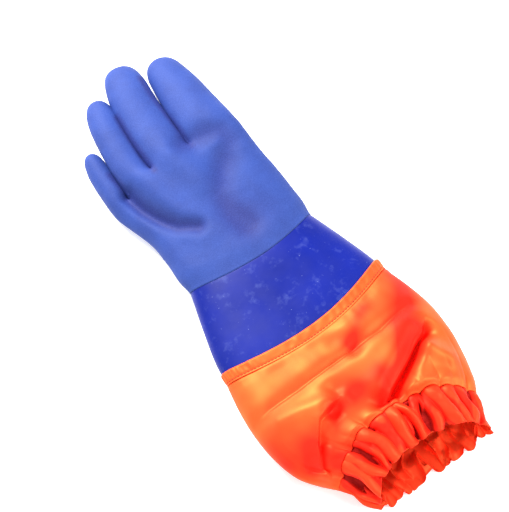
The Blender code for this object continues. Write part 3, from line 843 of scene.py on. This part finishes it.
def make_stitches(look):
    """A row of short threads that stand on the hem along its stitching line."""
    fine = np.linspace(0, 1, 3001)
    line, _outs = hem_surface(np.full(fine.shape, STITCH_SETBACK), fine)
    reached = np.concatenate([[0.0], np.cumsum(np.linalg.norm(np.diff(line, axis=0), axis=-1))])
    count = int(reached[-1] / STITCH_PITCH)
    work = bmesh.new()
    for number in range(count):
        start = (number + 0.2) * reached[-1] / count
        run = np.array([start, start + STITCH_LENGTH / 2, start + STITCH_LENGTH])
        turns = np.interp(run, reached, fine)
        path, outs = hem_surface(np.full(3, STITCH_SETBACK), turns)
        if path[1, 2] < LOWEST_STITCH:
            continue
        rings = []
        for place, out, risen in zip(path, outs, STITCH_ARCH):
            rise = Vector(out) * STITCH_WIDTH * 0.5
            side = Vector((0, 1, 0)) * STITCH_WIDTH * 0.5
            middle = Vector(place) + rise * risen
            angles = np.arange(6) * math.pi / 3
            corners = [middle + rise * math.sin(angle) + side * math.cos(angle) for angle in angles]
            rings.append([work.verts.new(corner) for corner in corners])
        for near, far in zip(rings, rings[1:]):
            skin(work, near, far)
        work.faces.new(rings[0])
        work.faces.new(rings[-1][::-1])
    bmesh.ops.recalc_face_normals(work, faces=work.faces)
    mesh = bpy.data.meshes.new("hem_stitches")
    work.to_mesh(mesh)
    work.free()
    return place_piece("hem_stitches", mesh, look, "sleeve_hem")


def cuff_turn(angle):
    """The share of the way round the cuff at an angle."""
    return np.interp(np.mod(angle, 2 * math.pi), CUFF_ANGLES, CUFF_TURNS)


def gather_place(turn):
    """How many gathers lie between the cuff's right side and a place round it, closer in some stretches."""
    angle = 2 * math.pi * turn
    return GATHER_COUNT * (turn + 0.006 * np.sin(3 * angle + 1.0) + 0.004 * np.sin(7 * angle + 2.0))


def gather_form(turn, share, seed=11):
    """Height from 0 in a crevice to about 1 on a gather's crest, at a share of the way from seam to lip."""
    random = np.random.default_rng(seed)
    place = gather_place(turn)
    form = np.zeros_like(place)
    # centre and half width (in gathers), height, and where it starts and ends (0 at the seam, 1 at the lip)
    rows = [(number, 0.54, 1.0, -0.4, 1.4) for number in range(GATHER_COUNT)]
    for number in range(GATHER_COUNT):
        start_at = random.choice([-0.4, 0.2, 0.5])
        rows.append((number + 0.5, 0.30, 0.58, start_at, start_at + random.uniform(0.5, 0.9)))
    for centre, half_width, height, start_at, end_at in rows:
        centre += random.uniform(-0.18, 0.18)
        half_width *= random.uniform(0.80, 1.30)
        height *= random.uniform(0.52, 1.18)
        slant = random.uniform(-0.80, 0.80)
        bend = random.uniform(-0.45, 0.45)
        curl = random.uniform(-0.14, 0.14)
        line = centre + slant * (share - 0.5) + bend * np.sin(math.pi * share)
        line += curl * np.sin(8 * share + centre)
        off = (place - line + GATHER_COUNT / 2) % GATHER_COUNT - GATHER_COUNT / 2
        along = np.clip((share - start_at) / 0.22, 0, 1) * np.clip((end_at - share) / 0.18, 0, 1)
        round_top = np.sqrt(np.maximum(1 - (off / half_width) ** 2, 0.0))
        swell = 1 + 0.16 * np.sin(7 * share + 7 * centre)
        form = np.maximum(form, height * swell * round_top * np.sqrt(np.maximum(along, 0.0)))
    return form


def seam_lift(form, top):
    """How far the cloth rises or sinks at the cuff's seam, on its top and on its underside."""
    return PINCHED_GATHER * 2 * GATHER_DEPTH * (form - mix(1.0, 0.55, top))


def signed_line(x, y, points):
    """Distance to a line of points (positive on its right, seen from above) and the share along it."""
    best = np.full(x.shape, 1e9)
    side = np.zeros(x.shape)
    share = np.zeros(x.shape)
    lengths = [math.dist(a, b) for a, b in zip(points, points[1:])]
    total = sum(lengths)
    passed = 0.0
    for (x_1, y_1), (x_2, y_2), length in zip(points, points[1:], lengths):
        along_x, along_y = (x_2 - x_1) / length, (y_2 - y_1) / length
        run = (x - x_1) * along_x + (y - y_1) * along_y
        on_line = np.clip(run, 0, length)
        off = np.hypot(x - x_1 - on_line * along_x, y - y_1 - on_line * along_y)
        turned = along_x * (y - y_1) - along_y * (x - x_1)
        nearer = off < best
        best = np.where(nearer, off, best)
        side = np.where(nearer, np.sign(turned), side)
        share = np.where(nearer, (passed + on_line) / total, share)
        passed += length
    return best * side, share


def crease_rise(across, along):
    """The height that the sleeve's sharp creases add, at places across it and along it in metres."""
    rise = np.zeros_like(across)
    for _name, high, high_reach, deep, deep_reach, points in CREASES:
        line = [(x * SLEEVE_WIDTH / 2, y * SLEEVE_LENGTH) for x, y in points]
        off, share = signed_line(across, along, line)
        fade = ramp(np.minimum(share, 1 - share), 0.0, 0.16)
        step = ramp(off, -CREASE_STEP / 2, CREASE_STEP / 2)
        raised = high * np.exp(-((np.maximum(off, 0) / (high_reach * SLEEVE_WIDTH)) ** 2))
        sunk = deep * np.exp(-((np.minimum(off, 0) / (deep_reach * SLEEVE_WIDTH)) ** 2))
        rise += fade * SLEEVE_HEIGHT * (step * raised - (1 - step) * sunk)
    return rise


def make_sleeve(look):
    """The loose sleeve, with its folds, its creases and its tucks at the hem and above the cuff."""
    away, turn = tube_places(SLEEVE_MESH, 0.0, SLEEVE_LENGTH - 0.2 * MM)
    angle = sleeve_angle(turn)
    top = on_top(angle)
    points = sleeve_point(away, turn)
    outs = outward(sleeve_point, away, turn)
    to_seam = SLEEVE_LENGTH - away
    from_ends = np.minimum(away, to_seam) / (FOLD_FADE * SLEEVE_LENGTH)
    along = -points[..., 1] - GAUNTLET_LENGTH - HEM_BAND
    drop = SLEEVE_HEIGHT * fold_share(FOLDS, points[..., 0], along)
    # Painted shade: the stretches of SHADES, with uneven edges
    shade = fold_share(SHADES, points[..., 0], along) + 0.04 * waves(points, 20 * MM, 9.0)
    free = top * ramp(away, 2 * MM, 26 * MM) * ramp(to_seam, 0, 11 * MM)
    points[..., 2] += (CREASE_STRENGTH * crease_rise(points[..., 0], along) - FOLD_STRENGTH * drop) * free
    form = gather_form(cuff_turn(angle), np.zeros_like(angle))
    tucks = seam_lift(form, top) * np.exp(-to_seam / TUCK_REACH) * mix(1.0, 1.25, ramp(to_seam, 0, 4 * MM))
    blouse = PUFF * ramp(to_seam, 0, 7 * MM) * (1 - ramp(to_seam, 7 * MM, PUFF_REACH))
    to_hem = HEM_TUCK * waves(points * (1, 0.25, 1), 8 * MM, 5.0)
    to_hem *= np.exp(-away / (14 * MM)) * ramp(away, 0, 3 * MM)
    drift = SLEEVE_DRIFT * waves(points, 42 * MM) + SLEEVE_RIPPLE * waves(points, 17 * MM)
    under_hem = -UNDER_HEM * (1 - ramp(away, 0.0, 3 * MM))
    lift = tucks + under_hem + (blouse * top + to_hem + drift * ramp(from_ends, 0, 1)) * (0.3 + 0.7 * top)
    points += lift[..., None] * outs
    points[..., 1] += SEAM_SCALLOP * (form - 0.5) * top * np.exp(-to_seam / (10 * MM))
    mesh = tube_mesh("folded_sleeve", points, outs, CLOTH_WALL)
    # The attribute "deep" is painted shade: red where the folds sink on the sleeve's top and in the stretches
    # of SHADES
    store(mesh, "deep", np.tile(np.maximum(drop / SLEEVE_HEIGHT, 0) * top + shade, (2, 1)))
    return place_piece("folded_sleeve", mesh, look, "sleeve")


def make_cuff(look):
    """The gathered casing, from its seam to its uneven lip."""
    away, turn = tube_places(CUFF_MESH, SLEEVE_LENGTH, SLEEVE_LENGTH + CUFF_LENGTH)
    share = (away - SLEEVE_LENGTH) / CUFF_LENGTH
    swell = np.sin(math.pi * np.clip(share, 0, 0.93))
    form = gather_form(turn, share)
    top = on_top(even_angle(turn))
    leaning = turn + GATHER_LEAN * (form - 0.5) * np.sin(2 * math.pi * 5 * turn + 1.0)
    points = cuff_point(away, leaning)
    outs = outward(cuff_point, away, leaning)
    freed = ramp(share, 0.0, SEAM_HOLD)
    gathers = 2 * GATHER_DEPTH * (form - mix(1.15, 0.60, top)) * freed
    lift = top * CASING_BULGE * swell + gathers * mix(0.7, 1.0, swell)
    lift += seam_lift(form, top) * (1 - freed)
    lift -= SEAM_DIP * top * np.exp(-((share / 0.035) ** 2))
    lift += CASING_RIPPLE * waves(points, 5 * MM)
    points += lift[..., None] * outs
    points[..., 1] += SEAM_SCALLOP * (form - 0.5) * top * (1 - ramp(share, 0.0, 0.3))
    uneven_lip = LIP_SCALLOP * (form - 0.6) + LIP_DRIFT * waves(points, 14 * MM, 2.0)
    points[..., 1] -= uneven_lip * ramp(share, 0.6, 1.0)
    mesh = tube_mesh("gathered_casing", points, outs, CLOTH_WALL)
    # Painted shade: the casing is painted redder towards the bottom of its crevices, and its inside a little
    deep = np.clip(CREVICE_PAINTED_SHADE - form, CREST_PAINTED_SHADE, 1)
    store(mesh, "deep", np.concatenate([deep, INSIDE_PAINTED_SHADE + 0 * deep]))
    return place_piece("gathered_casing", mesh, look, "gathered_cuff")


# Looks


class Look:
    """A material's nodes, with short calls for the kinds used here."""

    def __init__(self, name, **sockets):
        self.material = bpy.data.materials.new(name)
        self.material.use_nodes = True
        self.tree = self.material.node_tree
        self.shader = self.tree.nodes["Principled BSDF"]
        self.place = self.add("ShaderNodeTexCoord").outputs["Object"]
        for socket, value in sockets.items():
            self.shader.inputs[socket.replace("_", " ")].default_value = value

    def add(self, kind, **settings):
        node = self.tree.nodes.new(kind)
        for name, value in settings.items():
            setattr(node, name, value)
        return node

    def link(self, start, end):
        self.tree.links.new(start, end)

    def grain(self, size, detail=2.0, rough=0.5):
        node = self.add("ShaderNodeTexNoise")
        self.link(self.place, node.inputs["Vector"])
        node.inputs["Scale"].default_value = 1 / size
        node.inputs["Detail"].default_value = detail
        node.inputs["Roughness"].default_value = rough
        return node.outputs["Fac"]

    def range(self, value, start, end, low=0.0, high=1.0):
        node = self.add("ShaderNodeMapRange")
        self.link(value, node.inputs["Value"])
        for name, number in (("From Min", start), ("From Max", end), ("To Min", low), ("To Max", high)):
            node.inputs[name].default_value = number
        return node.outputs["Result"]

    def attribute(self, name):
        return self.add("ShaderNodeAttribute", attribute_name=name).outputs["Fac"]

    def blend(self, share, first, second):
        node = self.add("ShaderNodeMix", data_type="RGBA")
        if isinstance(share, float):
            node.inputs["Factor"].default_value = share
        else:
            self.link(share, node.inputs["Factor"])
        for socket, colour in ((node.inputs[6], first), (node.inputs[7], second)):
            if isinstance(colour, tuple):
                socket.default_value = colour
            else:
                self.link(colour, socket)
        return node.outputs[2]

    def bump(self, height, depth, below=None):
        node = self.add("ShaderNodeBump")
        node.inputs["Distance"].default_value = depth
        self.link(height, node.inputs["Height"])
        if below:
            self.link(below, node.inputs["Normal"])
        return node.outputs["Normal"]

    def set(self, socket, output):
        self.link(output, self.shader.inputs[socket])


def srgb(red, green, blue):
    """A colour as linear values, from the usual 0 to 255."""
    linear = [value / 12.92 if value <= 0.04045 else ((value + 0.055) / 1.055) ** 2.4
              for value in (red / 255, green / 255, blue / 255)]
    return (*linear, 1.0)


def grained_pvc():
    """Light-blue PVC with a sandy grain. Its attribute "hollow" paints shade into the dents, the grooves
    between the fingers and the middle of the wrist.
    """
    look = Look("grained_pvc", Roughness=0.68, Specular_IOR_Level=0.35)
    cloud = look.range(look.grain(24 * MM, 3.0), 0.35, 0.65)
    base = look.blend(cloud, srgb(34, 57, 129), srgb(38, 64, 140))
    # Painted shade: a darker, more purple blue where the attribute marks dents, finger grooves and the
    # wrist's middle
    deep = look.range(look.attribute("hollow"), 0.03, 0.22)
    shaded = look.blend(deep, base, srgb(32, 42, 112))
    speck = look.range(look.grain(0.9 * MM, 2.0), 0.40, 0.62)
    look.set("Base Color", look.blend(speck, shaded, look.blend(0.88, srgb(78, 108, 200), shaded)))
    sand = look.bump(look.grain(0.8 * MM, 3.0, 0.6), 0.16 * MM)
    look.set("Normal", look.bump(look.grain(3.2 * MM, 2.0), 0.15 * MM, sand))
    return look.material


def smooth_pvc():
    """Dark-blue PVC with faint clouds, smudges and pale specks."""
    look = Look("smooth_pvc", Roughness=0.38, Specular_IOR_Level=0.3)
    cloud = look.range(look.grain(42 * MM, 2.0), 0.30, 0.70)
    base = look.blend(cloud, srgb(0, 21, 118), srgb(2, 26, 134))
    smudge = look.range(look.grain(11 * MM, 5.0, 0.62), 0.56, 0.76, 0.0, 0.08)
    base = look.blend(smudge, base, srgb(170, 190, 255))
    speck = look.range(look.grain(1.6 * MM, 2.0), 0.74, 0.80, 0.0, 0.45)
    look.set("Base Color", look.blend(speck, base, srgb(190, 205, 255)))
    look.set("Roughness", look.range(look.grain(16 * MM, 3.0, 0.5), 0.3, 0.7, 0.36, 0.46))
    look.set("Normal", look.bump(look.grain(7 * MM, 1.0), 0.05 * MM))
    return look.material


def nylon():
    """Orange satin. Its attribute "deep" paints shade on it: red in its folds and shaded stretches, and dark
    red in the crevices of the cuff.
    """
    look = Look("nylon", Roughness=0.58, Metallic=0.72, Specular_IOR_Level=0.3)
    cloud = look.range(look.grain(30 * MM, 2.0), 0.35, 0.65)
    lit = look.blend(cloud, srgb(255, 94, 42), srgb(255, 108, 48))
    # Painted shade: red where the attribute marks the sleeve's folds and shaded stretches and the cuff's
    # gathers
    deep = look.range(look.attribute("deep"), 0.0, 0.24)
    red = look.blend(deep, lit, srgb(248, 44, 24))
    # Painted shade: dark red at the bottom of the cuff's crevices
    crevice = look.range(look.attribute("deep"), 0.36, 0.90)
    look.set("Base Color", look.blend(crevice, red, srgb(155, 16, 12)))
    look.set("Normal", look.bump(look.grain(0.45 * MM, 1.0), 0.03 * MM))
    return look.material


def thread():
    """The dark-red thread of the hem."""
    look = Look("thread", Roughness=0.7)
    cloud = look.range(look.grain(3 * MM), 0.4, 0.6)
    look.set("Base Color", look.blend(cloud, srgb(120, 16, 10), srgb(150, 28, 16)))
    return look.material


# Stage, light and camera

FLOOR_REACH = 4.0
FLOOR_SINK = 0.05 * MM
FLOOR_GLOW = 0.40
WORLD_LIGHT = 0.55

# name, place, width, power; each shines at the middle of the glove
LIGHTS = [
    ("key", (-0.1, 1.4, 1.15), 0.8, 66),
    ("fill", (-0.9, -0.5, 1.2), 0.9, 7),
    ("side", (0.75, -1.0, 0.85), 0.8, 17),
]

CAMERA_AZIMUTH = -35.44
CAMERA_ELEVATION = 67.42
CAMERA_DISTANCE = 1.8
CAMERA_LENS = 142.2
CAMERA_TARGET = Vector((-0.0016, 0.0097, 0.020))


def make_floor():
    """A white table that glows a little, so that its shadows stay pale."""
    mesh = bpy.data.meshes.new("floor")
    corners = [(FLOOR_REACH * x, FLOOR_REACH * y, 0) for x, y in ((-1, -1), (1, -1), (1, 1), (-1, 1))]
    mesh.from_pydata(corners, [], [(0, 1, 2, 3)])
    floor = bpy.data.objects.new("floor", mesh)
    floor.location.z = -FLOOR_SINK
    bpy.context.scene.collection.objects.link(floor)
    glow = {"Emission_Color": (1.0, 1.0, 1.0, 1.0), "Emission_Strength": FLOOR_GLOW}
    look = Look("floor", Roughness=0.9, Base_Color=(0.92, 0.92, 0.92, 1.0), **glow)
    mesh.materials.append(look.material)


def make_camera():
    """The photo's view: from above and from the cuff's left."""
    azimuth = math.radians(CAMERA_AZIMUTH)
    elevation = math.radians(CAMERA_ELEVATION)
    level = math.cos(elevation)
    back = Vector((math.sin(azimuth) * level, -math.cos(azimuth) * level, math.sin(elevation)))
    data = bpy.data.cameras.new("camera")
    data.lens = CAMERA_LENS
    data.clip_start = 0.05
    camera = bpy.data.objects.new("camera", data)
    camera.location = CAMERA_TARGET + back * CAMERA_DISTANCE
    camera.rotation_euler = back.to_track_quat("Z", "Y").to_euler()
    bpy.context.scene.collection.objects.link(camera)
    bpy.context.scene.camera = camera


def make_light():
    """Pale light all round, and three round lamps."""
    world = bpy.data.worlds.new("studio")
    world.use_nodes = True
    world.node_tree.nodes["Background"].inputs["Color"].default_value = (1, 1, 1, 1)
    world.node_tree.nodes["Background"].inputs["Strength"].default_value = WORLD_LIGHT
    bpy.context.scene.world = world
    for name, place, size, power in LIGHTS:
        data = bpy.data.lights.new(name, "AREA")
        data.shape = "DISK"
        data.size = size
        data.energy = power
        light = bpy.data.objects.new(name, data)
        light.location = place
        light.rotation_euler = Vector(place).to_track_quat("Z", "Y").to_euler()
        bpy.context.scene.collection.objects.link(light)
    bpy.context.scene.view_settings.view_transform = "Standard"


make_camera()
coat = grained_pvc()
plain = smooth_pvc()
cloth = nylon()
make_floor()
make_light()
make_hand(coat)
make_gauntlet(plain)
hem = make_hem(cloth)
stitches = make_stitches(thread())
sleeve = make_sleeve(cloth)
cuff = make_cuff(cloth)
